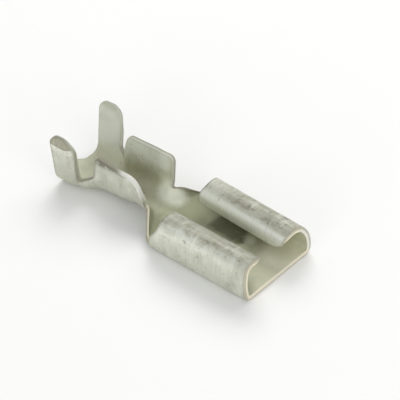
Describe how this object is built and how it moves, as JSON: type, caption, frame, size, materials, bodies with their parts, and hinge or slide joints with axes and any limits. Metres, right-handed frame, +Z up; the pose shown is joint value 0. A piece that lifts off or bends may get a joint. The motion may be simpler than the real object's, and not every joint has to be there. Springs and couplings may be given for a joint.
{
  "type": "female spade terminal",
  "caption": "Female spade terminal folded from thin tinned brass sheet: rolled receptacle for a flat tab, open barrel crimp wings for a stranded wire and its insulation.",
  "frame": {"origin": "on the ground under the middle of the receptacle's mouth", "axes": "+Y from the mouth towards the wire end, +X across the width, +Z up out of the floor"},
  "size_m": [0.0059, 0.0151, 0.0039],
  "materials": {
    "tinned_brass": "satin tin plating, lightly scratched and stained"
  },
  "bodies": {
    "root": {"terminal": "tinned_brass"}
  },
  "joints": []
}
